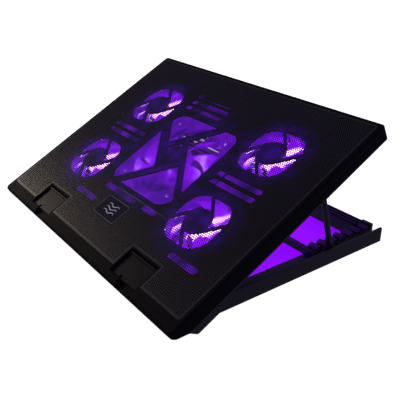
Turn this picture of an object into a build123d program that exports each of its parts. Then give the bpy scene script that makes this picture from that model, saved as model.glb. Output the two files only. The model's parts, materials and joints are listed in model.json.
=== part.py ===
from build123d import *

import os
from math import cos, radians, sin

# Laptop cooling pad: a slim two-shell pad with five fans, hinged on a flat base
# frame and propped up by a folding U-shaped stand. All sizes are in millimetres.
#
# Row frame: origin on the table under the middle of the whole object, +X to the
# user's right, +Y to the back, +Z up.
# Pad frame: the pad lying flat, X as above, Y from the front edge to the back
# edge, Z = 0 on the top surface. PAD_PLACE tilts it into the row frame.

# ---- driving dimensions -------------------------------------------------------
PAD_WIDTH = 380.0
PAD_DEPTH = 288.0
PAD_THICKNESS = 17.0
PAD_CORNER_RADIUS = 5.0
MESH_CORNER_RADIUS = 3.0
TOP_BEVEL = 2.0
WALL = 2.2
TILT_DEG = 27.9

MESH_THICKNESS = 0.6
TOP_PLATE_BOTTOM = -3.0          # underside of the plate that carries the fans
SEAM_LEVEL = -15.0               # where the bottom shell closes the top shell
NOSE_HEIGHT = 8.0                # height of the front edge
NOSE_DEPTH = 17.0                # how far back the slanted nose reaches
CAVITY_FRONT = 16.0

HINGE_DEPTH = 44.0               # tilt hinge axis, in the pad frame
HINGE_LEVEL = -20.0
HINGE_HEIGHT = 15.0              # the same axis above the table
HINGE_PIN_RADIUS = 2.0
HINGE_PIN_END = 187.5            # outer end of the pins along X
CHEEK_INNER = 179.0
RUNNING_GAP = 0.06

BASE_REAR_REACH = 241.8          # from the hinge axis to the back of the base
BASE_HALF_WIDTH = 177.5
BASE_BOTTOM = 1.0
BASE_HEIGHT = 17.5
BASE_BAR_REAR = 18.0             # width of the back bar
BASE_BAR_FRONT = 18.0
BASE_BAR_MIDDLE = (152.5, 159.0)  # reach of the slim middle bar from the hinge axis
BASE_SKIN = 2.0
FOOT_SIZE = (13.0, 7.0)
RAIL_INNER = 151.5
KNUCKLE_INNER = 152.0
CHANNEL_INNER = 165.0
CHANNEL_OUTER = 175.0
LEDGE_TOP = 5.0
TEETH_ROOT = 11.5
TOOTH_PITCH = 12.6
TOOTH_LEVEL = 12.0
TOOTH_RADIUS = 4.2
TOOTH_COUNT = 7
KNUCKLE_RADIUS = 7.3

PROP_PIVOT_REACH = 164.0         # from the tilt axis to the stand's pivot
PROP_WIRE_RADIUS = 2.5
PROP_LEG_WIDTH = 7.0             # the legs are pressed flat and wide along X
PROP_LEG_X = 170.0
PROP_LEAN_DEG = 74.0             # legs' slope down to the back when deployed
PROP_FOOT_HEIGHT = 13.0          # height of the foot's centre above the table
PROP_CLIP_X = (-145.0, -62.0, 62.0, 145.0)

# ---- places worked out from the driving dimensions ----------------------------
tilt = radians(TILT_DEG)
front_reach = HINGE_DEPTH * cos(tilt) + (-HINGE_LEVEL - TOP_BEVEL) * sin(tilt)
HINGE_Y = (front_reach - BASE_REAR_REACH) / 2
BASE_REAR = HINGE_Y + BASE_REAR_REACH
PAD_PLACE = (Pos(0, HINGE_Y, HINGE_HEIGHT) * Rot(TILT_DEG, 0, 0)
             * Pos(0, -HINGE_DEPTH, -HINGE_LEVEL))

lean = radians(PROP_LEAN_DEG)
PIVOT_Y = HINGE_Y + PROP_PIVOT_REACH * cos(tilt)
PIVOT_Z = HINGE_HEIGHT + PROP_PIVOT_REACH * sin(tilt)
PROP_LENGTH = (PIVOT_Z - PROP_FOOT_HEIGHT) / sin(lean)
FOOT_Y = PIVOT_Y + PROP_LENGTH * cos(lean)

# Fans: frame size, bore, hub, blade count, and the window above each. Each strut of
# a window has its distance from the centre, its width, and how far it starts behind
# the point nearest the centre.
SMALL_FAN = {"frame": 72.0, "bore": 33.5, "hub": 15.0, "blades": 7, "window": (66, 62),
             "corner": 22, "cap": 16, "struts": [(15.2, 3.2, 0)] * 4, "turn": 1}
LARGE_FAN = {"frame": 120.0, "bore": 56.5, "hub": 20.0, "blades": 9, "window": (118, 118),
             "corner": 18, "cap": 17, "turn": -1,
             "struts": [(13.8, 9.8, 16), (16.0, 12.0, 18), (25.5, 9.0, 20), (12.9, 7.4, 20)]}
FANS = {
    "centre": dict(LARGE_FAN, place=(0, 151)),
    "front_left": dict(SMALL_FAN, place=(-107, 101)),
    "front_right": dict(SMALL_FAN, place=(107, 101)),
    "rear_left": dict(SMALL_FAN, place=(-107, 207)),
    "rear_right": dict(SMALL_FAN, place=(107, 207)),
}
FAN_TOP = -3.2
FAN_BOTTOM = -13.8
MOTOR_PLATE = 1.5
ROTOR_TOP = -4.2
ROTOR_BOTTOM = -11.4
SHAFT_RADIUS = 1.0
LED_RADIUS = 1.5

# Vents through the top plate: x and y ranges of each field of slots.
VENT_FIELDS = [
    ((72, 142), (142, 166)),
    ((-142, -72), (142, 166)),
    ((-62, 8), (217, 249)),
    ((-48, 18), (72, 90)),
    ((-24, 22), (251, 260)),
    ((112, 158), (54, 62)),
    ((-82, -36), (54, 62)),
    ((30, 58), (79, 86)),
]
VENT_WIDTH = 7.6
VENT_PITCH = 10.4
INTAKE_WIDTH = 3.4
INTAKE_PITCH = 6.4

# Flip-up front stops.
STOP_CENTRES = {"left": -96.5, "right": 96.5}
STOP_RECESS = (46.5, (9.0, 40.0))
STOP_SIZE = (44.9, (10.2, 37.6))
STOP_AXIS = (37.0, -2.6)
STOP_BARREL = 1.8
NOTCH_SPAN = (-2.0, 22.0)
NAMEPLATE = (41.0, 24.0, 59.0)   # width, depth and middle along Y
PANEL_GAP = 0.15

# Sockets and switches along the back edge: centre x of each.
USB_X = {"left": -24.0, "right": 24.0}
SWITCH_X = {"left": -62.0, "right": 62.0}
BOARD_TOP = -12.0
ROCKER_RADIUS = 5.6
SWITCH_LEVEL = -8.2


# ---- helpers ------------------------------------------------------------------
def block(x, y, z):
    """Box between low and high coordinates along each axis."""
    size = [high - low for low, high in (x, y, z)]
    middle = [(high + low) / 2 for low, high in (x, y, z)]
    return Pos(*middle) * Box(*size)


def disc(centre, radius, z):
    """Upright cylinder between two levels."""
    return Pos(centre[0], centre[1], (z[0] + z[1]) / 2) * Cylinder(radius, z[1] - z[0])


def rod(x, y, z, radius):
    """Cylinder along X between two x values, through the point (y, z)."""
    return Pos((x[0] + x[1]) / 2, y, z) * Rot(0, 90, 0) * Cylinder(radius, x[1] - x[0])


def side_profile(points, x):
    """Prism along X whose outline is given as (y, z) points."""
    outline = Plane.YZ * make_face(Polyline(*points, close=True))
    return Pos(x[0], 0, 0) * extrude(outline, amount=x[1] - x[0], dir=(1, 0, 0))


def plate(size, centre, z, radius):
    """Flat plate with rounded corners between two levels."""
    outline = Pos(*centre, z[0]) * RectangleRounded(*size, radius)
    return extrude(outline, amount=z[1] - z[0])


def mirrored(shape):
    """The shape and its mirror image across the object's middle plane."""
    return [shape, mirror(shape, about=Plane.YZ)]


def save(node, solids, place=Location()):
    """Write one sub-part; a list keeps its solids separate."""
    pieces = solids if isinstance(solids, list) else [solids]
    placed = [place * piece for piece in pieces]
    whole = placed[0] if len(placed) == 1 else Compound(children=placed)
    export_step(whole, f"parts/{node}.step")


# ---- pad shells ---------------------------------------------------------------
def pad_body():
    """Outer form of the closed pad, with its bevelled top and slanted nose."""
    centre = (0, PAD_DEPTH / 2)
    body = plate((PAD_WIDTH, PAD_DEPTH), centre, (-PAD_THICKNESS, 0), PAD_CORNER_RADIUS)
    body = chamfer(body.faces().sort_by(Axis.Z)[-1].edges(), TOP_BEVEL)
    under_nose = [(-1, -NOSE_HEIGHT), (0, -NOSE_HEIGHT), (13, -14.5),
                  (NOSE_DEPTH, -PAD_THICKNESS), (NOSE_DEPTH, -PAD_THICKNESS - 1),
                  (-1, -PAD_THICKNESS - 1)]
    return body - side_profile(under_nose, (-PAD_WIDTH, PAD_WIDTH))


def window_sketch(fan):
    """Fan window: a rounded square less its round cap and four pinwheel struts."""
    width, height = fan["window"]
    struts = Circle(fan["cap"])
    for index, (distance, strut_width, start) in enumerate(fan["struts"]):
        along = fan["turn"] * (width / 2 - start)
        strut = Pos(distance, along) * Rectangle(strut_width, width)
        struts += Rot(0, 0, 45 * fan["turn"] - 90 * index) * strut
    return RectangleRounded(width, height, fan["corner"]) - struts


def slot_field(x, y):
    """Row of parallel round-ended slots that fill a rectangle."""
    middle = (x[0] + x[1]) / 2
    span = y[1] - y[0]
    count = max(1, int(span // VENT_PITCH))
    slots = Sketch()
    for index in range(count):
        level = y[0] + (index + 0.5) * span / count
        slots += Pos(middle, level) * SlotOverall(x[1] - x[0], VENT_WIDTH)
    return slots


def stop_pocket(side, grow, floor):
    """Space of one front stop's recess, grown sideways, down to a level."""
    width, (front, back) = STOP_RECESS
    middle = STOP_CENTRES[side]
    x = (middle - width / 2 - grow, middle + width / 2 + grow)
    return block(x, (front - grow, back + grow), (floor, 1))


def mesh_outline(z, gap):
    """The perforated panel's outline between two levels, less a gap all round."""
    size = (PAD_WIDTH - 10 - 2 * gap, PAD_DEPTH - 20 - 2 * gap)
    sheet = plate(size, (0, PAD_DEPTH / 2 + 5), z, MESH_CORNER_RADIUS)
    for side in STOP_CENTRES:
        sheet -= stop_pocket(side, 2 + gap, -10)
    return sheet


def nameplate(z, gap):
    """Small plaque let into the perforated panel, with a gap all round."""
    width, depth, middle = NAMEPLATE
    return plate((width + 2 * gap, depth + 2 * gap), (0, middle), z, 2)


def top_shell():
    """Tray with the side walls, fan windows, vents and stop recesses."""
    shell = pad_body() & block((-200, 200), (-10, 300), (SEAM_LEVEL, 1))
    half = PAD_WIDTH / 2 - WALL
    shell -= block((-half, half), (CAVITY_FRONT, PAD_DEPTH - WALL), (SEAM_LEVEL - 1, TOP_PLATE_BOTTOM))
    shell -= mesh_outline((-MESH_THICKNESS, 1), 0)
    below_plate = TOP_PLATE_BOTTOM - 1
    for fan in FANS.values():
        window = Pos(*fan["place"], below_plate) * window_sketch(fan)
        shell -= extrude(window, amount=5)
    for x, y in VENT_FIELDS:
        shell -= extrude(Pos(0, 0, below_plate) * slot_field(x, y), amount=5)
    for side, middle in STOP_CENTRES.items():
        shell += stop_pocket(side, 1.6, -6.4) & block((-200, 200), (8, 60), (-6.4, -MESH_THICKNESS))
        shell -= stop_pocket(side, 0, -4.8)
        shell -= block((middle + NOTCH_SPAN[0], middle + NOTCH_SPAN[1]), (-1, 10), (-3.4, 1))
        reach = STOP_RECESS[0] / 2 + 1.4
        shell -= rod((middle - reach, middle + reach), *STOP_AXIS, 0.9)
        rib = Pos(middle - 22, 6) * SlotOverall(40, 3.2)
        shell += extrude(Pos(0, 0, -0.4) * rib, amount=1.2)
    for depth in (2.8, 8.6):
        shell -= block((-176, 176), (depth, depth + 0.8), (-0.5, 1))
    for x in USB_X.values():
        shell -= block((x - 7.2, x + 7.2), (PAD_DEPTH - 5, PAD_DEPTH + 1), (-12.2, -5.2))
    for x in SWITCH_X.values():
        shell -= block((x - 8.1, x + 8.1), (PAD_DEPTH - 5, PAD_DEPTH + 1), (-12.6, -3.8))
    for place in case_screw_places():
        shell += disc(place, 3.4, (SEAM_LEVEL, TOP_PLATE_BOTTOM))
        shell -= disc(place, 1.25, (SEAM_LEVEL - 1, TOP_PLATE_BOTTOM - 3))
    for place in fan_corner_places(screw_offset):
        shell -= disc(place, 0.9, (TOP_PLATE_BOTTOM - 1, -1.4))
    return shell


def intake_grille(fan):
    """Parallel air slots below one fan, inside a circle."""
    radius = fan["bore"]
    count = int(2 * radius // INTAKE_PITCH)
    slots = Sketch()
    for index in range(count):
        offset = (index - (count - 1) / 2) * INTAKE_PITCH
        length = 2 * (radius ** 2 - offset ** 2) ** 0.5 - 4
        slots += Pos(0, offset) * SlotOverall(length, INTAKE_WIDTH)
    ribs = Rectangle(4, 2 * radius) + Circle(fan["hub"] * 0.7)
    return slots - ribs


def cheek():
    """Right-hand hinge cheek: a rounded foot below the pad's front corner."""
    x = (CHEEK_INNER, PAD_WIDTH / 2)
    toe_y, toe_z, toe_radius = (23.0, -21.0, 3.5)
    sole = toe_z - toe_radius
    web = side_profile([(15, SEAM_LEVEL), (toe_y - 3.2, toe_z - 1.4), (toe_y, sole),
                        (52, sole), (64, -PAD_THICKNESS), (64, SEAM_LEVEL)], x)
    web += rod(x, toe_y, toe_z, toe_radius)
    return web - rod((x[0] - 1, HINGE_PIN_END), HINGE_DEPTH, HINGE_LEVEL, HINGE_PIN_RADIUS)


def hinge_pocket(grow):
    """Space in the pad's underside for one knuckle of the base."""
    x = (KNUCKLE_INNER - 2 - grow, CHEEK_INNER - 0.2 + grow)
    y = (HINGE_DEPTH - 10 - grow, HINGE_DEPTH + 10 + grow)
    return block(x, y, (-PAD_THICKNESS - 1, -11.2 + grow))


def bottom_shell():
    """Closing plate with air intakes, hinge pockets and the two hinge cheeks."""
    shell = pad_body() & block((-200, 200), (-10, 300), (-PAD_THICKNESS, SEAM_LEVEL))
    for fan in FANS.values():
        grille = Pos(*fan["place"], -PAD_THICKNESS - 1) * intake_grille(fan)
        shell -= extrude(grille, amount=4)
    for wall, space in zip(mirrored(hinge_pocket(1.5)), mirrored(hinge_pocket(0))):
        shell += wall & block((-200, 200), (0, 100), (-PAD_THICKNESS, 0))
        shell -= space
    for side in mirrored(cheek()):
        shell += side
    for place in case_screw_places():
        shell -= disc(place, 1.4, (-PAD_THICKNESS - 1, SEAM_LEVEL + 1))
        shell -= disc(place, 2.8, (-PAD_THICKNESS - 1, -PAD_THICKNESS + 1.1))
    for x in (-64, -10, 10, 64):
        shell += disc((x, 256), 2.4, (SEAM_LEVEL, BOARD_TOP - 1.5))
    return shell


# ---- fans ---------------------------------------------------------------------
def corners(reach):
    """The four corners of a square about the origin."""
    return [(i * reach, j * reach) for i in (-1, 1) for j in (-1, 1)]


def screw_offset(fan):
    """Distance of a fan's screws from its centre along X and Y."""
    return fan["frame"] / 2 - 4.2


def led_offset(fan):
    """Distance of a fan's lamps from its centre along X and Y."""
    return fan["bore"] * 0.78


def fan_corner_places(offset):
    """Corner places of every fan in the pad frame, at the offset each fan gives."""
    return [(fan["place"][0] + x, fan["place"][1] + y)
            for fan in FANS.values() for x, y in corners(offset(fan))]


def case_screw_places():
    """Centres of the screws that close the two shells."""
    return [(x, y) for x in (-182, 182) for y in (24, 104, 204, 280)] + [(-160, 150), (160, 150)]


def fan_frame(fan):
    """Square housing with its bore, motor plate, spokes and bearing tube."""
    size = fan["frame"]
    frame = plate((size, size), (0, 0), (FAN_BOTTOM, FAN_TOP), 9)
    frame -= disc((0, 0), fan["bore"], (FAN_BOTTOM - 1, FAN_TOP + 1))
    plate_top = FAN_BOTTOM + MOTOR_PLATE
    frame += disc((0, 0), fan["hub"] - 1, (FAN_BOTTOM, plate_top))
    middle = (fan["hub"] + fan["bore"]) / 2
    for index in range(4):
        spoke = Pos(middle, 0, FAN_BOTTOM + 0.75) * Box(fan["bore"] - fan["hub"] + 6, 3, MOTOR_PLATE)
        frame += Rot(0, 0, 45 + 90 * index) * spoke
    frame += disc((0, 0), 2.6, (plate_top, -6.6))
    frame -= disc((0, 0), SHAFT_RADIUS + RUNNING_GAP, (FAN_BOTTOM + 0.6, -6))
    for x, y in corners(screw_offset(fan)):
        frame -= disc((x, y), 1.1, (FAN_BOTTOM - 1, FAN_TOP + 1))
    for x, y in corners(led_offset(fan)):
        frame -= disc((x, y), LED_RADIUS + 0.1, (FAN_TOP - 0.9, FAN_TOP + 1))
    return frame


def fan_rotor(fan):
    """Hub cap with its shaft and pitched blades."""
    hub = fan["hub"]
    cap = disc((0, 0), hub, (ROTOR_BOTTOM, ROTOR_TOP))
    cap -= disc((0, 0), hub - 1.6, (ROTOR_BOTTOM - 1, ROTOR_TOP - 1.4))
    span = fan["bore"] - 1 - hub
    blade = Pos(hub + span / 2, 0, 0) * Rot(32, 0, 0) * Box(span + 4, span * 0.62, 1.2)
    blade &= block((hub - 0.8, 80), (-40, 40), (-3.3, 3.3))
    blade = Pos(0, 0, (ROTOR_TOP + ROTOR_BOTTOM) / 2) * blade
    for index in range(fan["blades"]):
        cap += Rot(0, 0, 360 * index / fan["blades"]) * blade
    cap &= disc((0, 0), fan["bore"] - 1, (ROTOR_BOTTOM, ROTOR_TOP))
    return cap + disc((0, 0), SHAFT_RADIUS, (FAN_BOTTOM + 1, ROTOR_TOP - 1))


def magnet_ring(fan):
    """Ring magnet pressed into the hub cap."""
    outer = fan["hub"] - 1.6
    levels = (ROTOR_BOTTOM + 0.3, ROTOR_TOP - 1.4)
    return disc((0, 0), outer, levels) - disc((0, 0), outer - 1.4, levels)


def stator(fan):
    """Four-pole stator core with its windings, round the bearing tube."""
    outer = fan["hub"] - 3.8
    levels = (-11.6, -7.4)
    core = disc((0, 0), 4.6, levels) - disc((0, 0), 2.6, levels)
    pole = block((3.6, outer - 1), (-2.4, 2.4), (-10.6, -8.4))
    shoe = block((outer - 1.2, outer - 0.2), (-3.6, 3.6), levels)
    for index in range(4):
        core += Rot(0, 0, 90 * index) * (pole + shoe)
    return core


def fan_leds():
    """Four light-emitting diodes in pockets in each fan frame."""
    levels = (FAN_TOP - 0.8, FAN_TOP - 0.1)
    return [disc(place, LED_RADIUS, levels) for place in fan_corner_places(led_offset)]


def fan_screws():
    """Self-tapping screws through the fan frames into the top plate."""
    screw_bottom = FAN_BOTTOM - 0.9
    return [disc(place, 1.9, (screw_bottom, FAN_BOTTOM)) + disc(place, 0.9, (FAN_BOTTOM, -1.5))
            for place in fan_corner_places(screw_offset)]


def case_screws():
    """Countersunk screws that close the case from below."""
    return [disc(place, 2.6, (-16.9, -15.9)) + disc(place, 1.25, (-15.9, -7))
            for place in case_screw_places()]


# ---- front stops, sockets and switches ----------------------------------------
def front_stop(side):
    """Flip-up plate that keeps a laptop from sliding off."""
    width, (front, back) = STOP_SIZE
    middle = STOP_CENTRES[side]
    axis_y, axis_z = STOP_AXIS
    x = (middle - width / 2, middle + width / 2)
    body = block(x, (front, axis_y), (axis_z - STOP_BARREL, axis_z + 0.4))
    body = fillet(body.edges().filter_by(Axis.Z).group_by(Axis.Y)[0], 2.5)
    body += rod(x, axis_y, axis_z, STOP_BARREL)
    body -= rod((x[0] - 1, x[1] + 1), axis_y, axis_z, 0.9 + RUNNING_GAP)
    grip = block((middle - 8, middle + 8), (front - 1, front + 3), (axis_z - 0.6, axis_z + 1))
    return body - grip


def stop_pins():
    """Hinge pins of both front stops."""
    reach = STOP_RECESS[0] / 2 + 1.3
    return [rod((x - reach, x + reach), *STOP_AXIS, 0.9) for x in STOP_CENTRES.values()]


def usb_socket(x):
    """Metal socket shell and its contact tongue."""
    shell = block((x - 7, x + 7), (PAD_DEPTH - 14, PAD_DEPTH), (BOARD_TOP, -5.4))
    shell -= block((x - 6.2, x + 6.2), (PAD_DEPTH - 13, PAD_DEPTH + 1), (-11.2, -6.2))
    tongue = block((x - 5.2, x + 5.2), (PAD_DEPTH - 13, PAD_DEPTH - 2), (-9.2, -7.6))
    return [shell, tongue]


def switch_housing(x):
    """Bezel and box of one rocker switch, open to the back."""
    bezel = block((x - 9, x + 9), (PAD_DEPTH, PAD_DEPTH + 0.8), (-13.2, -3.2))
    box = block((x - 8, x + 8), (PAD_DEPTH - 10, PAD_DEPTH), (-12.4, -4))
    cavity = Pos(x, PAD_DEPTH - 2.5, SWITCH_LEVEL) * Cylinder(ROCKER_RADIUS + 0.5, 6.6)
    mouth = block((x - 6.4, x + 6.4), (PAD_DEPTH - 2.5, PAD_DEPTH + 2), (-11.5, -4.9))
    return bezel + box - cavity - mouth


def rocker(x):
    """Two-position rocker: a round back and two flats that meet in a shallow vee."""
    body = Cylinder(ROCKER_RADIUS, 6.0)
    for turn in (-1, 1):
        flat = Pos(0, ROCKER_RADIUS + 3.6, 0) * Box(30, 6, 8)
        body -= Rot(0, 0, turn * 9) * flat
    return Pos(x, PAD_DEPTH - 2.5, SWITCH_LEVEL) * Rot(0, 0, 8) * body


def control_board():
    """Circuit board that carries the sockets, on four posts."""
    return block((-70, 70), (250, PAD_DEPTH - 11), (BOARD_TOP - 1.5, BOARD_TOP))


def fan_leads():
    """Flat leads from the fans to the board, laid along the bottom shell."""
    level = (SEAM_LEVEL, SEAM_LEVEL + 0.9)
    leads = []
    for side in (-1, 1):
        outer = sorted((side * 66.0, side * 63.5))
        inner = sorted((side * 70.5, side * 68.0))
        leads.append(block(outer, (207, 249), level))
        leads.append(block(inner, (101, 249), level))
    leads.append(block((-1.5, 1.5), (213, 249), level))
    return leads


# ---- base frame ---------------------------------------------------------------
def ratchet_teeth():
    """Row of rounded teeth beside the stand's channel on the right-hand rail."""
    across = (RAIL_INNER, CHANNEL_INNER - 1)
    first = HINGE_Y + PROP_PIVOT_REACH - TOOTH_PITCH / 2
    return [rod(across, first + index * TOOTH_PITCH, TOOTH_LEVEL, TOOTH_RADIUS)
            for index in range(TOOTH_COUNT)]


def rail():
    """Right-hand rail: knuckle, outer wall, low ledge, channel for the stand and teeth."""
    step_start = HINGE_Y + 26
    body = block((RAIL_INNER, BASE_HALF_WIDTH), (HINGE_Y + 5, BASE_REAR), (BASE_BOTTOM, BASE_HEIGHT))
    nose = [(HINGE_Y - 6.5, HINGE_HEIGHT - 3), (HINGE_Y + 3, BASE_BOTTOM), (HINGE_Y + 6, BASE_BOTTOM),
            (HINGE_Y + 6, BASE_HEIGHT), (HINGE_Y, BASE_HEIGHT)]
    knuckle_x = (KNUCKLE_INNER, BASE_HALF_WIDTH)
    body += side_profile(nose, knuckle_x)
    body += rod(knuckle_x, HINGE_Y, HINGE_HEIGHT, KNUCKLE_RADIUS)
    body -= rod((140, 190), HINGE_Y, HINGE_HEIGHT, HINGE_PIN_RADIUS + RUNNING_GAP)
    teeth_start = HINGE_Y + PROP_PIVOT_REACH - 1.2 * TOOTH_PITCH
    inner = (RAIL_INNER - 1, CHANNEL_INNER)
    body -= block(inner, (step_start, teeth_start), (LEDGE_TOP, 30))
    body -= block(inner, (teeth_start, BASE_REAR - 4.5), (TEETH_ROOT, 30))
    seat = FOOT_Y - 14
    sill = BASE_REAR - 6
    channel = [(step_start, 5), (seat, 5), (seat, 9.6), (seat + 11, 9.4), (seat + 46, 0), (sill, 0),
               (sill, 3), (BASE_REAR + 1, 3), (BASE_REAR + 1, 30), (step_start, 30)]
    body -= side_profile(channel, (CHANNEL_INNER, CHANNEL_OUTER))
    for tooth in ratchet_teeth():
        body += tooth
    hollow_x = (RAIL_INNER + BASE_SKIN, CHANNEL_INNER - BASE_SKIN)
    for start, end in ((14, 76), (80, 142), (146, 190), (194, 232)):
        body -= block(hollow_x, (HINGE_Y + start, HINGE_Y + end), (0, LEDGE_TOP - BASE_SKIN))
    return body


def inside(x, y, top):
    """Space under a bar that is open below, inside walls of one thickness."""
    return block((x[0] + BASE_SKIN, x[1] - BASE_SKIN), (y[0] + BASE_SKIN, y[1] - BASE_SKIN),
                 (0, top - BASE_SKIN))


def rear_bar():
    """Back bar of the base, with three long ribs on top."""
    x = (-RAIL_INNER, RAIL_INNER)
    y = (BASE_REAR - BASE_BAR_REAR, BASE_REAR)
    top = BASE_HEIGHT - 2
    bar = block(x, y, (BASE_BOTTOM, top))
    for offset in (3, 8.4, 13.8):
        bar += block(x, (y[1] - offset - 1.6, y[1] - offset), (top, top + 2))
    return bar - inside(x, y, top)


def middle_bar():
    """Slim bar that ties the rails together near the teeth."""
    start, end = BASE_BAR_MIDDLE
    bar = block((-RAIL_INNER, RAIL_INNER), (HINGE_Y + start, HINGE_Y + end), (BASE_BOTTOM, 9.5))
    return fillet(bar.edges().filter_by(Axis.X).group_by(Axis.Z)[-1], 2.5)


def front_bar():
    """Front bar of the base, behind the hinges."""
    x = (-RAIL_INNER, RAIL_INNER)
    y = (HINGE_Y + 6, HINGE_Y + 6 + BASE_BAR_FRONT)
    top = 12.0
    return block(x, y, (BASE_BOTTOM, top)) - inside(x, y, top)


def base_feet():
    """Rubber pads under the four corners of the base."""
    foot = extrude(SlotOverall(*FOOT_SIZE), amount=BASE_BOTTOM)
    places = [(170, HINGE_Y + 9), (158, BASE_REAR - 4.5)]
    return [Pos(side * x, y, 0) * foot for side in (-1, 1) for x, y in places]


def hinge_pins():
    """Pins fixed in the cheeks that turn in the base's knuckles, in the pad frame."""
    return mirrored(rod((156, HINGE_PIN_END), HINGE_DEPTH, HINGE_LEVEL, HINGE_PIN_RADIUS))


# ---- folding stand ------------------------------------------------------------
def leg_plane(side):
    """Plane across a leg at its foot, with its normal up the leg."""
    return Plane(origin=(side * PROP_LEG_X, FOOT_Y, PROP_FOOT_HEIGHT), x_dir=(1, 0, 0),
                 z_dir=(0, -cos(lean), sin(lean)))


def prop_stand():
    """Bent rod: a cross shaft under the pad and a leg at each end."""
    right_foot = (PROP_LEG_X, FOOT_Y, PROP_FOOT_HEIGHT)
    left_foot = (-PROP_LEG_X, FOOT_Y, PROP_FOOT_HEIGHT)
    corners = [right_foot, (PROP_LEG_X, PIVOT_Y, PIVOT_Z), (-PROP_LEG_X, PIVOT_Y, PIVOT_Z), left_foot]
    path = FilletPolyline(*corners, radius=5)
    start = Plane(origin=path @ 0, z_dir=path % 0)
    stand = sweep(start * Circle(PROP_WIRE_RADIUS), path=path)
    for side in (-1, 1):
        section = leg_plane(side) * SlotOverall(PROP_LEG_WIDTH, 2 * PROP_WIRE_RADIUS)
        stand += extrude(section, amount=PROP_LENGTH - 8)
    return stand


def prop_clips():
    """Snap clips on the pad's underside that hold the cross shaft, in the pad frame."""
    pivot_depth = HINGE_DEPTH + PROP_PIVOT_REACH
    across = (-4, 4)
    past = (-5, 5)
    clip = block(across, (pivot_depth - 4.6, pivot_depth + 4.6), (HINGE_LEVEL, -PAD_THICKNESS))
    clip += rod(across, pivot_depth, HINGE_LEVEL, 4.2)
    clip -= block(past, (pivot_depth - 5, pivot_depth + 5), (-PAD_THICKNESS, -10))
    clip -= rod(past, pivot_depth, HINGE_LEVEL, PROP_WIRE_RADIUS + RUNNING_GAP)
    clip -= block(past, (pivot_depth - 1.8, pivot_depth + 1.8), (-30, HINGE_LEVEL))
    return [Pos(x, 0, 0) * clip for x in PROP_CLIP_X]


def prop_feet():
    """Rubber sleeves on the ends of the stand's legs."""
    thick = 2 * PROP_WIRE_RADIUS
    sleeves = []
    for side in (-1, 1):
        tip = leg_plane(side).offset(-1.5)
        outside = extrude(tip * SlotOverall(PROP_LEG_WIDTH + 1.2, thick + 0.8), amount=9)
        sleeves.append(outside - extrude(leg_plane(side) * SlotOverall(PROP_LEG_WIDTH, thick), amount=9))
    return sleeves


# ---- write every sub-part -----------------------------------------------------
os.makedirs("parts", exist_ok=True)

right_rail = rail()
save("base_rail_right", right_rail)
save("base_rail_left", mirror(right_rail, about=Plane.YZ))
save("base_bar_rear", rear_bar())
save("base_bar_middle", middle_bar())
save("base_bar_front", front_bar())
save("base_feet", base_feet())

save("top_shell", top_shell(), PAD_PLACE)
save("bottom_shell", bottom_shell(), PAD_PLACE)
panel = mesh_outline((-MESH_THICKNESS, 0), PANEL_GAP) - nameplate((-1, 1), PANEL_GAP)
save("mesh_panel", panel, PAD_PLACE)
save("nameplate", nameplate((-MESH_THICKNESS, 0), 0), PAD_PLACE)
save("hinge_pins", hinge_pins(), PAD_PLACE)

for name, fan in FANS.items():
    fan_place = PAD_PLACE * Pos(*fan["place"], 0)
    save(f"fan_frame_{name}", fan_frame(fan), fan_place)
    save(f"fan_rotor_{name}", fan_rotor(fan), fan_place)
    save(f"magnet_ring_{name}", magnet_ring(fan), fan_place)
    save(f"fan_stator_{name}", stator(fan), fan_place)
save("fan_leds", fan_leds(), PAD_PLACE)
save("fan_screws", fan_screws(), PAD_PLACE)
save("case_screws", case_screws(), PAD_PLACE)
save("fan_leads", fan_leads(), PAD_PLACE)

save("control_board", control_board(), PAD_PLACE)
for side, x in USB_X.items():
    save(f"usb_socket_{side}", usb_socket(x), PAD_PLACE)
for side, x in SWITCH_X.items():
    save(f"switch_housing_{side}", switch_housing(x), PAD_PLACE)
    save(f"switch_rocker_{side}", rocker(x), PAD_PLACE)

for side in STOP_CENTRES:
    save(f"front_stop_{side}", front_stop(side), PAD_PLACE)
save("stop_pins", stop_pins(), PAD_PLACE)

save("prop_stand", prop_stand())
save("prop_clips", prop_clips(), PAD_PLACE)
save("prop_feet", prop_feet())
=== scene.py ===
import json
from math import cos, hypot, radians, sin, sqrt, tau

import bpy
import numpy as np
from mathutils import Matrix, Vector

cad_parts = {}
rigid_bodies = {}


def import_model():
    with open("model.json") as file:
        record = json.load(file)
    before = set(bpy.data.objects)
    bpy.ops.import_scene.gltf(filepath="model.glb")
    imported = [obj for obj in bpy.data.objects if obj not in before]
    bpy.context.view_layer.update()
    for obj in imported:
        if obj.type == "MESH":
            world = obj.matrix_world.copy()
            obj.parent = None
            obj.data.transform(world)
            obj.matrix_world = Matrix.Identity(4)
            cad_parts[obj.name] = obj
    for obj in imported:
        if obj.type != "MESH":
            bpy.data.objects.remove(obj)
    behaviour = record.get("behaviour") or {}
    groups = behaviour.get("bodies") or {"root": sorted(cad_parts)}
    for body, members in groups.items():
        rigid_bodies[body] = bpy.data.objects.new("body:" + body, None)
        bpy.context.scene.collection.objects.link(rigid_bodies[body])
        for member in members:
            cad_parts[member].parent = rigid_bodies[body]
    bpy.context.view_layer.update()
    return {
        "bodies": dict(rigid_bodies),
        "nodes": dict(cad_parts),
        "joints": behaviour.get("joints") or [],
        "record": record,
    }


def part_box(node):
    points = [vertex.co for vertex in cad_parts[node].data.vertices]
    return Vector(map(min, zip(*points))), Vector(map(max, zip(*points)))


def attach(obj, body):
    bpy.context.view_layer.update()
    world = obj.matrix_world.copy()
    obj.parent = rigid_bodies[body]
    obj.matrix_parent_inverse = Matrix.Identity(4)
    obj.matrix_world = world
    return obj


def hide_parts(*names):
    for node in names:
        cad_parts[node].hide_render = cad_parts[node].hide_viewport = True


# Looks of the laptop cooling pad, in metres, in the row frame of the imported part.
# Pad frame: x to the user's right, y from the front edge back, z = 0 on the top face.

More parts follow.
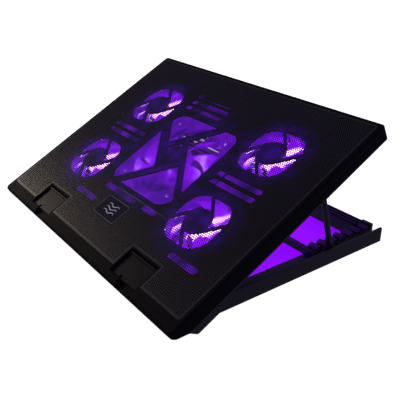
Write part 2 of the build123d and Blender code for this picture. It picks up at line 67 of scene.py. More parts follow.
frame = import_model()
nodes = frame["nodes"]
joints = {joint["name"]: joint for joint in frame["joints"]}

MM = 0.001
HINGE_IN_PAD = Vector((0, 44, -20)) * MM
TILT = radians(-joints["pad_tilt"]["range_deg"][0])
PAD = (Matrix.Translation(joints["pad_tilt"]["pos_m"]) @ Matrix.Rotation(TILT, 4, "X")
       @ Matrix.Translation(-HINGE_IN_PAD))
PAD_INVERSE = PAD.inverted()
PAD_NORMAL = (PAD.to_3x3() @ Vector((0, 0, 1))).normalized()

# Inside of the pad's walls and the perforated panel, in millimetres in the pad frame.
INNER_WIDTH = (-184.0, 184.0)
INNER_DEPTH = (18.0, 283.0)
INNER_FACE = (-16.0, -14.2)      # levels that hold the bottom shell's inner face
PLATE_LEVEL = -0.6               # the plate under the sheet
PANEL_HALF_WIDTH = 185.0
PANEL_DEPTH = (15.0, 283.0)
PANEL_RADIUS = 3.0
POCKET_CENTRES = (-96.5, 96.5)
POCKET_HALF_WIDTH = 25.25
POCKET_BACK = 42.0
PLAQUE_HALF = (20.5, 12.0)
PLAQUE_MIDDLE = 59.0
HOLE_PITCH = 2.55
HOLE_RADIUS = 0.95
SHEET_THICKNESS = 0.38
SHEET_TOP = -0.06
HEM_WIDTH = 2.6
BANDS = 6

PURPLE = (0.22, 0.0, 1.0)

# Reach of the painted halo of light round each fan's window, in millimetres.
FAN_REACHES = [("centre", 56.0), ("front_left", 33.0), ("front_right", 33.0),
               ("rear_left", 33.0), ("rear_right", 33.0)]


# ---- node helpers -------------------------------------------------------------
class Shader:
    """A new material with short ways to add and join its nodes."""

    def __init__(self, name):
        self.material = bpy.data.materials.new(name)
        self.material.use_nodes = True
        self.tree = self.material.node_tree
        self.surface = self.tree.nodes["Principled BSDF"]

    def add(self, kind, **values):
        """A node of one kind; names that match sockets set them, others set properties."""
        node = self.tree.nodes.new("ShaderNode" + kind)
        for key, value in values.items():
            socket = node.inputs.get(key.replace("_", " "))
            if socket is None:
                setattr(node, key, value)
            else:
                self.give(socket, value)
        return node

    def give(self, socket, value):
        """Join an output to the socket, or set the socket's own value."""
        if isinstance(value, bpy.types.NodeSocket):
            self.tree.links.new(value, socket)
        elif isinstance(value, (tuple, list)) and len(value) == 3 and socket.type == "RGBA":
            socket.default_value = (*value, 1)
        else:
            socket.default_value = value

    def set(self, **values):
        """Set or join inputs of the surface shader."""
        for key, value in values.items():
            self.give(self.surface.inputs[key.replace("_", " ")], value)

    def place(self, scale=(1, 1, 1), turn=(0, 0, 0), shift=(0, 0, 0)):
        """Object coordinates, scaled, turned and shifted."""
        source = self.add("TexCoord").outputs["Object"]
        mapping = self.add("Mapping", Vector=source)
        mapping.inputs["Scale"].default_value = scale
        mapping.inputs["Rotation"].default_value = turn
        mapping.inputs["Location"].default_value = shift
        return mapping.outputs["Vector"]

    def pad_place(self, scale=1000.0):
        """Pad-frame coordinates, in millimetres unless another scale is given."""
        shift = PAD_INVERSE.to_translation() * scale
        return self.place((scale,) * 3, (-TILT, 0, 0), shift)

    def noise(self, scale, detail=2.0, vector=None):
        """Noise between 0 and 1."""
        place = self.place() if vector is None else vector
        return self.add("TexNoise", Vector=place, Scale=scale, Detail=detail).outputs["Fac"]

    def spread(self, value, low, high, start=0.0, end=1.0):
        """Map a value's range start..end to low..high."""
        node = self.add("MapRange", Value=value)
        for key, number in (("From Min", start), ("From Max", end), ("To Min", low), ("To Max", high)):
            node.inputs[key].default_value = number
        return node.outputs["Result"]

    def blend(self, factor, first, second):
        """Mix of two colours."""
        node = self.add("Mix", data_type="RGBA")
        self.give(node.inputs["Factor"], factor)
        self.give(node.inputs[6], first)
        self.give(node.inputs[7], second)
        return node.outputs[2]

    def ramp(self, value, stops):
        """Colour ramp through (place, colour) stops."""
        node = self.add("ValToRGB", Fac=value)
        elements = node.color_ramp.elements
        while len(elements) < len(stops):
            elements.new(0.5)
        for element, (place, colour) in zip(elements, stops):
            element.position = place
            element.color = (*colour, 1)
        return node.outputs["Color"]

    def math(self, operation, first, second=0.0):
        """Result of one arithmetic operation."""
        node = self.add("Math", operation=operation)
        self.give(node.inputs[0], first)
        self.give(node.inputs[1], second)
        return node.outputs[0]

    def bump(self, height, strength, distance):
        """Feed a height into the surface's normal."""
        node = self.add("Bump", Height=height, Strength=strength, Distance=distance)
        self.give(self.surface.inputs["Normal"], node.outputs["Normal"])


def between(shader, value, low, high):
    """1 where a value lies between two limits, 0 elsewhere."""
    above = shader.math("GREATER_THAN", value, low)
    return shader.math("MULTIPLY", above, shader.math("LESS_THAN", value, high))


def fan_centre(name):
    """Centre of a fan in the pad frame, in millimetres."""
    return PAD_INVERSE @ Vector(joints[f"fan_{name}_spin"]["pos_m"]) / MM


# ---- materials ----------------------------------------------------------------
def plastic(name, colour, roughness, grain, strength, specular=0.5):
    """Moulded plastic with a fine spark-eroded grain and faint cloudiness."""
    shader = Shader(name)
    cloud = shader.noise(35.0, 3.0)
    lighter = tuple(1.5 * c for c in colour)
    shader.set(Base_Color=shader.blend(cloud, colour, lighter), Specular_IOR_Level=specular)
    fine = shader.noise(1 / (grain * MM), 2.0)
    shader.set(Roughness=shader.spread(fine, roughness - 0.07, roughness + 0.07, 0.3, 0.7))
    shader.bump(fine, strength, 0.04 * MM)
    return shader


def painted_metal(name, colour, roughness):
    """Powder-coated steel with orange peel and slightly varied gloss."""
    shader = Shader(name)
    peel = shader.noise(900.0, 2.0)
    cloud = shader.noise(28.0, 2.0)
    lighter = tuple(1.4 * c for c in colour)
    shader.set(Base_Color=shader.blend(cloud, colour, lighter), Specular_IOR_Level=0.5)
    shader.set(Roughness=shader.spread(peel, roughness - 0.06, roughness + 0.06, 0.3, 0.7))
    shader.bump(peel, 0.25, 0.05 * MM)
    return shader


def brushed_steel():
    """Plated steel with fine brushing and dull patches."""
    shader = Shader("plated_steel")
    brushing = shader.add("TexNoise", Vector=shader.place((200, 4000, 4000)), Scale=1.0, Detail=3.0)
    grain = brushing.outputs["Fac"]
    shader.set(Metallic=1.0, Base_Color=shader.blend(grain, (0.42, 0.42, 0.44), (0.66, 0.66, 0.68)))
    shader.set(Roughness=shader.spread(grain, 0.2, 0.42, 0.3, 0.7))
    shader.bump(grain, 0.15, 0.02 * MM)
    return shader


def laminated_core():
    """Stacked dark laminations of motor cores and the ring magnets' rims."""
    shader = Shader("motor_core")
    layers = shader.add("TexWave", Vector=shader.pad_place(), Scale=0.6, bands_direction="Z")
    shader.set(Base_Color=shader.blend(layers.outputs["Fac"], (0.05, 0.05, 0.055), (0.2, 0.19, 0.18)))
    shader.set(Metallic=0.8, Roughness=shader.spread(shader.noise(700.0), 0.35, 0.6))
    shader.bump(layers.outputs["Fac"], 0.4, 0.1 * MM)
    return shader


def circuit_board():
    """Green solder mask over a pattern of copper tracks."""
    shader = Shader("circuit_board")
    tracks = shader.add("TexBrick", Vector=shader.pad_place(), Scale=0.35, Mortar_Size=0.05)
    tracks.inputs["Color1"].default_value = (0.008, 0.06, 0.02, 1)
    tracks.inputs["Color2"].default_value = (0.01, 0.085, 0.03, 1)
    tracks.inputs["Mortar"].default_value = (0.05, 0.2, 0.07, 1)
    shader.set(Base_Color=tracks.outputs["Color"], Coat_Weight=0.4)
    shader.set(Roughness=shader.spread(shader.noise(400.0), 0.25, 0.45))
    shader.bump(tracks.outputs["Fac"], 0.3, 0.05 * MM)
    return shader


def lamp():
    """Lit violet lamp, hotter and paler in random patches."""
    shader = Shader("lamp")
    heat = shader.noise(300.0)
    shader.set(Base_Color=(0.7, 0.4, 1.0), Roughness=0.2, Emission_Strength=2.0)
    shader.set(Emission_Color=shader.ramp(heat, [(0.3, (0.5, 0.12, 1.0)), (0.7, (0.85, 0.6, 1.0))]))
    return shader


def ribbed_lead():
    """Flat three-core lead: grooves between its cores, with the colour darker in the grooves and
    lighter on the cores as painted shade.
    """
    shader = Shader("flat_lead")
    cores = shader.add("TexWave", Vector=shader.pad_place(), Scale=0.4, bands_direction="X")
    dark, light = (0.012, 0.012, 0.014), (0.05, 0.05, 0.055)
    # Painted shade: darker in the grooves, lighter on the cores, following the bump.
    shader.set(Base_Color=shader.blend(cores.outputs["Fac"], dark, light))
    shader.set(Roughness=shader.spread(shader.noise(900.0), 0.45, 0.65))
    shader.bump(cores.outputs["Fac"], 0.6, 0.2 * MM)
    return shader


def lit_plastic(name, deep, bright, hot, strength):
    """Clear plastic with painted light: its emission paints the lamps' purple glow and hot highlight
    streaks; 'glow' on the mesh says how strong the painted light is.
    """
    shader = Shader(name)
    glow = shader.add("Attribute", attribute_name="glow").outputs["Fac"]
    streaks = shader.noise(160.0, 2.0)
    value = shader.math("ADD", glow, shader.spread(streaks, -0.12, 0.12, 0.3, 0.7))
    colour = shader.ramp(value, [(0.0, deep), (0.35, bright), (0.55, bright), (1.0, hot)])
    shader.set(Base_Color=(0.03, 0.0, 0.12), Specular_IOR_Level=0.2, Emission_Color=colour)
    shader.set(Roughness=shader.spread(streaks, 0.2, 0.35))
    shader.set(Emission_Strength=shader.spread(value, strength * 0.25, strength * 1.9, 0.05, 1.0))
    return shader


def lit_frame():
    """The fan frames' clear plastic: a painted purple glow by emission, darker and brighter in random
    patches.
    """
    shader = Shader("lit_frame")
    glow_patches = shader.noise(60.0, 2.0)
    deep, bright = (0.08, 0.0, 0.5), (0.25, 0.0, 1.0)
    # Painted light: the frames glow by emission though they are no lamps.
    shader.set(Emission_Color=shader.ramp(glow_patches, [(0.3, deep), (0.7, bright)]), Emission_Strength=1.9)
    shader.set(Base_Color=(0.03, 0.0, 0.12), Specular_IOR_Level=0.3)
    shader.set(Roughness=shader.spread(glow_patches, 0.2, 0.35))
    return shader


def lit_inside():
    """Bottom shell: black plastic whose inner face has a painted purple glow in patches, by emission,
    standing in for the lamps' spilled light.
    """
    shader = plastic("lit_inside_plastic", (0.010, 0.0095, 0.012), 0.45, 0.35, 0.5)
    place = shader.pad_place()
    axes = shader.add("SeparateXYZ", Vector=place).outputs
    inner = between(shader, axes["Z"], *INNER_FACE)
    inner = shader.math("MULTIPLY", inner, between(shader, axes["X"], *INNER_WIDTH))
    inner = shader.math("MULTIPLY", inner, between(shader, axes["Y"], *INNER_DEPTH))
    patches = shader.noise(0.05, 3.0, place)
    amount = shader.spread(patches, 0.25, 1.5, 0.40, 0.66)
    deep, bright = (0.10, 0.0, 0.6), (0.24, 0.0, 1.0)
    # Painted light: purple emission on the inner face, in patches, stands in for the lamps' spill.
    shader.set(Emission_Color=shader.ramp(patches, [(0.35, deep), (0.7, bright)]))
    shader.set(Emission_Strength=shader.math("MULTIPLY", inner, amount))
    return shader


def lit_plate():
    """Top shell: dull black plastic; on the plate under the sheet, a faint painted halo of purple
    light round each fan, by emission.
    """
    shader = plastic("lit_plate_plastic", (0.0045, 0.0043, 0.005), 0.65, 0.35, 0.5, 0.08)
    place = shader.pad_place()
    level = shader.add("SeparateXYZ", Vector=place).outputs["Z"]
    plate = between(shader, level, PLATE_LEVEL - 0.15, PLATE_LEVEL + 0.15)
    halo = 0.0
    for name, reach in FAN_REACHES:
        distance = shader.add("VectorMath", operation="DISTANCE")
        shader.give(distance.inputs[0], place)
        distance.inputs[1].default_value = (*fan_centre(name)[:2], PLATE_LEVEL)
        near = shader.spread(distance.outputs["Value"], 1.0, 0.0, reach * 0.9, reach * 1.75)
        halo = shader.math("ADD", halo, shader.math("POWER", near, 2.0))
    cloud = shader.spread(shader.noise(0.06, 3.0, place), 0.1, 0.5, 0.4, 0.65)
    strength = shader.math("MULTIPLY", plate, shader.math("MULTIPLY", halo, cloud))
    # Painted light: purple emission on the plate, in a halo round each fan.
    shader.set(Emission_Color=(0.14, 0.0, 1.0), Emission_Strength=strength)
    return shader


STOP_PLASTIC = plastic("stop_plastic", (0.006, 0.006, 0.007), 0.40, 0.6, 0.3, 0.15)
# Pale grey of the nameplate rim: a painted highlight along the plaque's edges.
RIM_PAINTED_HIGHLIGHT = plastic("rim_painted_highlight", (0.11, 0.11, 0.12), 0.25, 0.8, 0.2)
PRINT = plastic("pale_print", (0.75, 0.75, 0.75), 0.5, 0.3, 0.2)
MATERIALS = {
    "black_plastic": plastic("satin_black_plastic", (0.010, 0.0095, 0.011), 0.45, 0.35, 0.5, 0.4),
    "mesh_metal": painted_metal("satin_black_paint", (0.014, 0.0135, 0.014), 0.40),
    "gloss_black": plastic("gloss_black_plastic", (0.006, 0.006, 0.007), 0.14, 2.0, 0.05),
    "fan_clear": lit_frame(),
    "steel": brushed_steel(),
    "motor_core": laminated_core(),
    "led": lamp(),
    "board": circuit_board(),
    "foot_rubber": plastic("foot_rubber", (0.013, 0.013, 0.013), 0.75, 0.25, 0.8, 0.3),
    "rod_black": painted_metal("painted_rod", (0.010, 0.010, 0.012), 0.32),
    "lead_rubber": ribbed_lead(),
}
for part in frame["record"]["subparts"]:
    mesh = nodes[part["node"]].data
    mesh.materials.clear()
    mesh.materials.append(MATERIALS[part["material_slot"]].material)
nodes["bottom_shell"].data.materials[0] = lit_inside().material
nodes["top_shell"].data.materials[0] = lit_plate().material
for side in ("left", "right"):
    nodes[f"front_stop_{side}"].data.materials[0] = STOP_PLASTIC.material


# ---- mesh helpers -------------------------------------------------------------
def add_piece(name, points, faces, material, body, slot, place=PAD, scale=MM):
    """New mesh piece from points in millimetres in the pad frame, riding on a body."""
    mesh = bpy.data.meshes.new(name)
    mesh.from_pydata((np.asarray(points, float) * scale).tolist(), [], [list(face) for face in faces])
    mesh.transform(place)
    mesh.materials.append(material.material)
    mesh.validate()
    piece = bpy.data.objects.new(name, mesh)
    bpy.context.scene.collection.objects.link(piece)
    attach(piece, body)
    return piece


def arc(centre, radius, start, end, steps):
    """Points of a circular arc, angles in degrees."""
    angles = [radians(start + (end - start) * i / steps) for i in range(steps + 1)]
    return [(centre[0] + radius * cos(a), centre[1] + radius * sin(a)) for a in angles]


def ring_between(outer, inner, low, high):
    """Points and faces of a closed flat ring between two loops of equal length."""
    count = len(outer)
    points = [(*p, z) for z in (high, low) for loop in (outer, inner) for p in loop]
    faces = []
    for i in range(count):
        j = (i + 1) % count
        corner = [i, j, count + j, count + i]
        faces.append(corner)
        faces.append([2 * count + k for k in reversed(corner)])
        faces.append([j, i, 2 * count + i, 2 * count + j])
        faces.append([count + i, count + j, 3 * count + j, 3 * count + i])
    return points, faces


# ---- perforated panel ---------------------------------------------------------
def panel_loop(gap):
    """Outline of the panel, drawn in by a gap, counterclockwise from the front left."""
    front, back = PANEL_DEPTH[0] + gap, PANEL_DEPTH[1] - gap
    side = PANEL_HALF_WIDTH - gap
    radius = PANEL_RADIUS - gap
    inner = side - radius
    loop = arc((-inner, front + radius), radius, 180, 270, 6)
    for centre in POCKET_CENTRES:
        left, right = centre - POCKET_HALF_WIDTH - gap, centre + POCKET_HALF_WIDTH + gap
        pocket = POCKET_BACK + gap
        loop += [(left, front), (left, pocket), (right, pocket), (right, front)]
    loop += arc((inner, front + radius), radius, 270, 360, 6)
    loop += arc((inner, back - radius), radius, 0, 90, 6)
    loop += arc((-inner, back - radius), radius, 90, 180, 6)
    return loop


def plaque_loop(gap):
    """Outline of the plaque, grown by a gap."""
    half_width, half_depth = PLAQUE_HALF
    radius = 2.0
    loop = []
    for start, sx, sy in ((0, 1, 1), (90, -1, 1), (180, -1, -1), (270, 1, -1)):
        centre = (sx * (half_width - radius), PLAQUE_MIDDLE + sy * (half_depth - radius))
        loop += arc(centre, radius + gap, start, start + 90, 5)
    return loop


def in_panel(x, y, gap):
    """True where a point is inside the panel's outline, drawn in by a gap."""
    front, back = PANEL_DEPTH
    side = PANEL_HALF_WIDTH
    inside = (np.abs(x) < side - gap) & (y > front + gap) & (y < back - gap)
    corner_x = np.abs(x) - (side - PANEL_RADIUS)
    for corner_y in (y - (back - PANEL_RADIUS), (front + PANEL_RADIUS) - y):
        outside = (corner_x > 0) & (corner_y > 0) & (np.hypot(corner_x, corner_y) > PANEL_RADIUS - gap)
        inside &= ~outside
    for centre in POCKET_CENTRES:
        inside &= ~((np.abs(x - centre) < POCKET_HALF_WIDTH + gap) & (y < POCKET_BACK + gap))
    half_width, half_depth = PLAQUE_HALF
    plaque = (np.abs(x) < half_width + gap) & (np.abs(y - PLAQUE_MIDDLE) < half_depth + gap)
    return inside & ~plaque


# Stamped ribs of the sheet: two ends of each, in the pad frame.
RIBS = [((-150, 97), (-150, 190)), ((-19, 86), (73, 86)), ((-73, 183), (-38, 161)),
        ((27, 124), (66, 107)), ((25, 246), (52, 226)), ((-66, 88), (-70, 113)),
        ((-150, 176), (-128, 168))]
RIB_HEIGHT = 0.32
RIB_WIDTH = 1.5


def segment_distance(x, y, start, end):
    """Distance of points from a straight segment."""
    dx, dy = end[0] - start[0], end[1] - start[1]
    along = np.clip(((x - start[0]) * dx + (y - start[1]) * dy) / (dx * dx + dy * dy), 0, 1)
    return np.hypot(x - start[0] - along * dx, y - start[1] - along * dy)


def sheet_level(x, y):
    """Height of the sheet's top face, with its stamped ribs."""
    level = np.full(x.shape, SHEET_TOP)
    for start, end in RIBS:
        level += RIB_HEIGHT * np.exp(-(segment_distance(x, y, start, end) / RIB_WIDTH) ** 2)
    return level


def perforated_band(rows):
    """Closed sheet of hexagonal cells, each with a hexagonal hole, over some rows of the lattice."""
    columns = int(PANEL_HALF_WIDTH / HOLE_PITCH) + 1
    row, column = np.meshgrid(rows, np.arange(-columns, columns + 1), indexing="ij")
    x = ((column + 0.5 * (row % 2)) * HOLE_PITCH).ravel()
    y = (PANEL_DEPTH[0] + row * HOLE_PITCH * sqrt(3) / 2).ravel()
    keep = in_panel(x, y, 1.5)
    centres = np.stack([x[keep], y[keep]], 1)
    angles = np.radians(30 + 60 * np.arange(6))
    around = np.stack([np.cos(angles), np.sin(angles)], 1)
    corners = (centres[:, None] + around * HOLE_PITCH / sqrt(3)).reshape(-1, 2)
    _, first, shared = np.unique(np.round(corners, 3), axis=0, return_index=True, return_inverse=True)
    outer = shared.reshape(-1, 6)
    rims = (centres[:, None] + around * HOLE_RADIUS).reshape(-1, 2)
    flat = np.concatenate([corners[first], rims])
    level = sheet_level(flat[:, 0], flat[:, 1])
    total = len(flat)
    top = np.column_stack([flat, level])
    bottom = np.column_stack([flat, level - SHEET_THICKNESS])
    hole = len(first) + np.arange(len(rims)).reshape(-1, 6)
    following = np.roll(outer, -1, 1)
    hole_following = np.roll(hole, -1, 1)
    faces = [np.stack([outer, following, hole_following, hole], 2),
             np.stack([hole, hole_following, following, outer], 2) + total,
             np.stack([hole, hole_following, hole_following + total, hole + total], 2)]
    start, end = outer.ravel(), following.ravel()
    edge = np.minimum(start, end) * total + np.maximum(start, end)
    _, place, count = np.unique(edge, return_index=True, return_counts=True)
    border = place[count == 1]
    faces.append(np.stack([end[border], start[border], start[border] + total, end[border] + total], 1))
    faces = np.concatenate([f.reshape(-1, 4) for f in faces])
    return np.concatenate([top, bottom]), faces


row_count = int((PANEL_DEPTH[1] - PANEL_DEPTH[0]) / (HOLE_PITCH * sqrt(3) / 2)) + 1
row_bands = np.array_split(np.arange(row_count), BANDS)
for index, rows in enumerate(row_bands):
    points, faces = perforated_band(rows)
    band = add_piece(f"perforated_sheet_{index + 1}", points, faces.tolist(),
                     MATERIALS["mesh_metal"], "pad", "mesh_metal")
    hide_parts("mesh_panel")
hem = add_piece("sheet_hem", *ring_between(panel_loop(0.15), panel_loop(HEM_WIDTH), -0.5, 0.0),
                MATERIALS["mesh_metal"], "pad", "mesh_metal")
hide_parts("mesh_panel")

# ---- nameplate: a thin raised rim, pale grey as a painted highlight, and a printed airflow mark ---
add_piece("nameplate_rim", *ring_between(plaque_loop(1.5), plaque_loop(0.1), -0.5, 0.2),
          RIM_PAINTED_HIGHLIGHT, "pad", "gloss_black")


def airflow_mark(lines=3, length=22.0, spacing=4.6, width=1.5, swing=1.3):
    """Three wavy strokes, one above the other, as closed thin strips on the plaque."""
    points, faces = [], []
    steps = 24
    for line in range(lines):
        base = PLAQUE_MIDDLE + (line - (lines - 1) / 2) * spacing
        first = len(points)
        for i in range(steps + 1):
            share = i / steps
            x = (share - 0.5) * length
            y = base + swing * sin(1.5 * tau * share)
            half = width / 2 * (1 - abs(2 * share - 1) ** 4)
            for z in (0.0, 0.07):
                points += [(x, y - half, z), (x, y + half, z)]
        for i in range(steps):
            a = first + 4 * i
            for low, high in ((0, 1), (1, 3), (3, 2), (2, 0)):
                faces.append([a + low, a + high, a + 4 + high, a + 4 + low])
        for end, order in ((first, (0, 2, 3, 1)), (first + 4 * steps, (0, 1, 3, 2))):
            faces.append([end + k for k in order])
    return points, faces


add_piece("airflow_mark", *airflow_mark(), PRINT, "pad", "gloss_black")


# ---- fan rotors ---------------------------------------------------------------
ROTOR_TOP = -4.3
ROTOR_BOTTOM = -11.3
HUB_OVERLAP = 0.6                # how far a blade's root reaches into the hub
BLADE_COVER = 0.86               # part of the circle that the blades cover
BLADE_PITCH = (34.0, 16.0)       # degrees, at the root and at the tip
BLADE_RISE = 5.6
BLADE_SWEEP = (0.42, 1.6)        # angle at the tip in radians, and how late it comes
BLADE_CAMBER = 0.7
BLADE_THICKNESS = 1.0
BLADE_EDGE = 0.8                 # how far the thickness falls off towards the edges
CAP_STEPS = 48
# Painted light on a fan's blades: highlight streaks, and painted shade where the strength is below
# zero; start, end, width and strength of each streak, in bore radii.
SMALL_PAINTED_STREAKS = [
    ((0.27, 0.26), (0.66, 0.87), 0.075, 0.9),
    ((0.12, -0.50), (0.80, 0.32), 0.085, 0.85),
    ((-0.90, -0.28), (-0.60, -0.46), 0.30, 0.42),
    ((0.00, -0.90), (0.00, 0.90), 1.20, 0.12),
]
LARGE_PAINTED_STREAKS = [
    ((0.52, 0.34), (0.80, 0.02), 0.22, 0.36),
    ((-0.70, -0.30), (-0.66, -0.62), 0.24, 0.30),
    ((-0.42, 0.46), (-0.34, 0.56), 0.09, 0.55),
    ((0.14, 0.56), (0.40, 0.72), 0.06, 0.35),
    ((0.18, -0.26), (0.30, -0.40), 0.06, 0.35),
    ((-0.60, 0.70), (0.30, 0.90), 0.34, -0.34),
    ((-0.20, -0.80), (0.70, -0.70), 0.30, -0.20),
]


SMALL_ROTOR = {"hub": 15.0, "tip": 31.8, "count": 7, "turn": 1, "streaks": SMALL_PAINTED_STREAKS}
LARGE_ROTOR = {"hub": 20.0, "tip": 54.5, "count": 9, "turn": -1, "streaks": LARGE_PAINTED_STREAKS}
TIP_TO_BORE = 2.0
EVEN_GLOW = (0.27, 0.08)         # painted even glow at the middle of a fan, and added at its edge


def glow_at(x, y, rotor):
    """How strongly a place of the fan glows, from 0 to 1, as painted lamp light and painted highlight
    streaks; x and y from its centre.
    """
    bore = rotor["tip"] + TIP_TO_BORE
    amount = EVEN_GLOW[0] + EVEN_GLOW[1] * hypot(x, y) / bore
    for start, end, width, strength in rotor["streaks"]:
        distance = segment_distance(x / bore, y / bore, start, end)
        amount += strength * float(np.exp(-(distance / width) ** 2))
    return min(max(amount, 0.0), 1.0)


def rotor_blade(rotor):
    """Swept, twisted and cambered blade as a closed skin, from hub to tip."""
    stations, across = 17, 13
    middle = (ROTOR_TOP + ROTOR_BOTTOM - BLADE_CAMBER) / 2
    root, turn = rotor["hub"] - HUB_OVERLAP, rotor["turn"]
    root_pitch, tip_pitch = BLADE_PITCH
    tip_sweep, sweep_power = BLADE_SWEEP
    points = []
    for side in (1, -1):
        for i in range(stations):
            along = i / (stations - 1)
            radius = root + along * (rotor["tip"] - root)
            chord = BLADE_COVER * tau * radius / rotor["count"]
            pitch = turn * radians(root_pitch + (tip_pitch - root_pitch) * along)
            rise = min(1.0, BLADE_RISE / abs(chord * sin(pitch)))
            for j in range(across):
                share = j / (across - 1) - 0.5
                from_middle = (2 * share) ** 2
                angle = turn * tip_sweep * along ** sweep_power + share * chord * cos(pitch) / radius
                camber = BLADE_CAMBER * (1 - from_middle)
                edge = BLADE_THICKNESS / 2 * (1 - BLADE_EDGE * from_middle)
                z = middle + share * chord * sin(pitch) * rise + camber + side * edge
                points.append((radius * cos(angle), radius * sin(angle), z))
    size = stations * across
    faces = []
    for i in range(stations - 1):
        for j in range(across - 1):
            a = i * across + j
            quad = [a, a + across, a + across + 1, a + 1]
            faces.append(quad)
            faces.append([k + size for k in reversed(quad)])
    last = stations - 1
    edge_loop = list(range(across))
    edge_loop += [i * across + across - 1 for i in range(1, stations)]
    edge_loop += [last * across + j for j in range(across - 2, -1, -1)]
    edge_loop += [i * across for i in range(last - 1, 0, -1)]
    for a, b in zip(edge_loop, edge_loop[1:] + edge_loop[:1]):
        faces.append([a, b, b + size, a + size])
    return points, faces


def hub_cap(hub):
    """Turned cap with a rounded rim and a shallow dish on top, hollow below."""
    top, bottom = ROTOR_TOP, ROTOR_BOTTOM
    dish, roof = top - 0.45, top - 1.8
    profile = [(hub - 1.6, bottom), (hub, bottom), (hub, top - 1.4), (hub - 0.4, top - 0.5),
               (hub - 1.4, top), (hub - 3.4, top), (hub - 4.2, dish), (0.0, dish),
               (0.0, roof), (hub - 1.6, roof)]
    points, faces, rings = [], [], []
    for radius, height in profile:
        first = len(points)
        if radius == 0:
            rings.append([first] * CAP_STEPS)
            points.append((0, 0, height))
        else:
            rings.append(list(range(first, first + CAP_STEPS)))
            for i in range(CAP_STEPS):
                angle = tau * i / CAP_STEPS
                points.append((radius * cos(angle), radius * sin(angle), height))
    for low, high in zip(rings, rings[1:] + rings[:1]):
        for i in range(CAP_STEPS):
            j = (i + 1) % CAP_STEPS
            face = list(dict.fromkeys([low[i], low[j], high[j], high[i]]))
            if len(face) > 2:
                faces.append(face)
    return points, faces


# Rotor blades and hub caps glow by emission though they are no lamps: painted lamp light with painted
# highlight streaks.
PAINTED_GLOW_ROTOR = lit_plastic("painted_glow_rotor", (0.10, 0.0, 0.60), (0.25, 0.0, 1.0), (0.95, 0.45, 1.0), 3.0)
for body in frame["bodies"]:
    if not body.startswith("rotor_"):
        continue
    name = body.removeprefix("rotor_")
    centre = fan_centre(name)
    rotor = LARGE_ROTOR if name == "centre" else SMALL_ROTOR
    points, faces = hub_cap(rotor["hub"])
    blade_points, blade_faces = rotor_blade(rotor)
    for index in range(rotor["count"]):
        angle = tau * index / rotor["count"]
        shift = len(points)
        points += [(x * cos(angle) - y * sin(angle), x * sin(angle) + y * cos(angle), z)
                   for x, y, z in blade_points]
        faces += [[k + shift for k in face] for face in blade_faces]
    # Painted glow and highlight streaks, one value per point.
    glow = [glow_at(x, y, rotor) for x, y, z in points]
    moved = [(x + centre.x, y + centre.y, z) for x, y, z in points]
    piece = add_piece(f"rotor_{name}_blades", moved, faces, PAINTED_GLOW_ROTOR, body, "fan_clear")
    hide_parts(f"fan_rotor_{name}")
    attribute = piece.data.attributes.new("glow", "FLOAT", "POINT")
    attribute.data.foreach_set("value", np.array(glow, np.float32))
    piece.data.shade_smooth()

# ---- floor, lights and camera ---------------------------------------------------
FLOOR_HALF = 6.0
BACKDROP_HEIGHT = 4.0
GLOW_INSET = 0.004               # from the base's outer edges to the painted purple glow on the floor
GLOW_FRONT_INSET = 0.010


def stage_piece(name, points, faces, shader):
    """Piece of the studio, seen by the camera but by no other ray except shadows."""
    mesh = bpy.data.meshes.new(name)
    mesh.from_pydata(points, [], faces)
    mesh.materials.append(shader.material)
    piece = bpy.data.objects.new(name, mesh)
    bpy.context.scene.collection.objects.link(piece)
    piece.visible_diffuse = False
    piece.visible_glossy = False
    piece.visible_transmission = False
    return piece


corners = [(-FLOOR_HALF, -FLOOR_HALF), (FLOOR_HALF, -FLOOR_HALF), (FLOOR_HALF, FLOOR_HALF),
           (-FLOOR_HALF, FLOOR_HALF)]
ground = [(x, y, 0.0) for x, y in corners]
above = [(x, y, BACKDROP_HEIGHT) for x, y in corners]
walls = [[i, (i + 1) % 4, 4 + (i + 1) % 4, 4 + i] for i in range(4)]

floor_shader = Shader("pale_floor")
floor_shader.set(Roughness=0.9, Specular_IOR_Level=0.0)
base_low, base_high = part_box("base_rail_right")
place = floor_shader.add("SeparateXYZ", Vector=floor_shader.place()).outputs
reach = base_high.x - GLOW_INSET
# Under the base the floor is painted: a dark floor colour stands in for the pad's shade, and a purple
# emission pool for the lamps' underglow.
under_base_painted_light = floor_shader.math("MULTIPLY", between(floor_shader, place["X"], -reach, reach),
                               between(floor_shader, place["Y"], base_low.y + GLOW_FRONT_INSET,
                                       base_high.y - GLOW_INSET))
dim, lit = (0.20, 0.0, 0.74), (0.27, 0.0, 1.0)
pool = floor_shader.ramp(floor_shader.noise(9.0, 3.0), [(0.35, dim), (0.55, lit)])
floor_shader.set(Base_Color=floor_shader.blend(under_base_painted_light, (0.8, 0.8, 0.8), (0.05, 0.05, 0.05)))
floor_shader.set(Emission_Color=floor_shader.blend(under_base_painted_light, (1.0, 1.0, 1.0), pool))
floor_shader.set(Emission_Strength=1.0)
stage_piece("floor", ground, [[0, 1, 2, 3]], floor_shader)

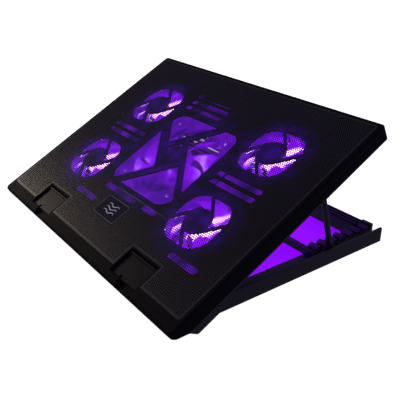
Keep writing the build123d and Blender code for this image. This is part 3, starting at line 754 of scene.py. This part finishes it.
wall_shader = Shader("pale_wall")
wall_shader.set(Base_Color=(0.8, 0.8, 0.8), Emission_Color=(1.0, 1.0, 1.0), Emission_Strength=1.0)
stage_piece("backdrop", ground + above, walls, wall_shader).visible_shadow = False


def area_light(name, place, target, size, power, colour, spread=180.0):
    """Soft rectangular light at a place, aimed at a target; it isn't seen by the camera."""
    light = bpy.data.lights.new(name, "AREA")
    light.shape = "RECTANGLE"
    light.size, light.size_y = size
    light.energy = power
    light.color = colour
    light.spread = radians(spread)
    lamp_object = bpy.data.objects.new(name, light)
    lamp_object.location = place
    lamp_object.rotation_euler = (Vector(target) - Vector(place)).to_track_quat("-Z", "Y").to_euler()
    lamp_object.visible_camera = False
    bpy.context.scene.collection.objects.link(lamp_object)
    return lamp_object


front_left = PAD @ (Vector((-150, 30, 0)) * MM)
KEY_WAY = Vector((-0.92, -0.30, 0.33))
area_light("key", front_left + 1.2 * KEY_WAY, front_left, (0.4, 0.3), 3.8, (1.0, 0.84, 0.62))
area_light("fill_back", (0.3, 1.4, 0.7), (0, 0, 0.08), (0.9, 0.6), 3.0, (0.95, 0.97, 1.0))

under_pad = PAD @ (Vector((0, 160, -24)) * MM)
spill = area_light("underside_glow", under_pad, under_pad - PAD_NORMAL, (0.26, 0.20), 0.45,
                   PURPLE, 120.0)
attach(spill, "pad")

world = bpy.data.worlds.new("studio")
world.use_nodes = True
sky = world.node_tree.nodes["Background"].inputs
sky["Color"].default_value = (0.8, 0.68, 1.25, 1)
sky["Strength"].default_value = 0.16
bpy.context.scene.world = world

CAMERA_PLACE = (0.530, -0.364, 0.3285)
CAMERA_AZIMUTH = 53.62
CAMERA_ELEVATION = 25.33
CAMERA_LENS = 54.19
camera_data = bpy.data.cameras.new("camera")
camera_data.sensor_width = 36.0
camera_data.lens = CAMERA_LENS
camera = bpy.data.objects.new("camera", camera_data)
camera.location = CAMERA_PLACE
camera.rotation_euler = (radians(90 - CAMERA_ELEVATION), 0, radians(CAMERA_AZIMUTH))
bpy.context.scene.collection.objects.link(camera)
bpy.context.scene.camera = camera
bpy.context.scene.view_settings.view_transform = "Standard"
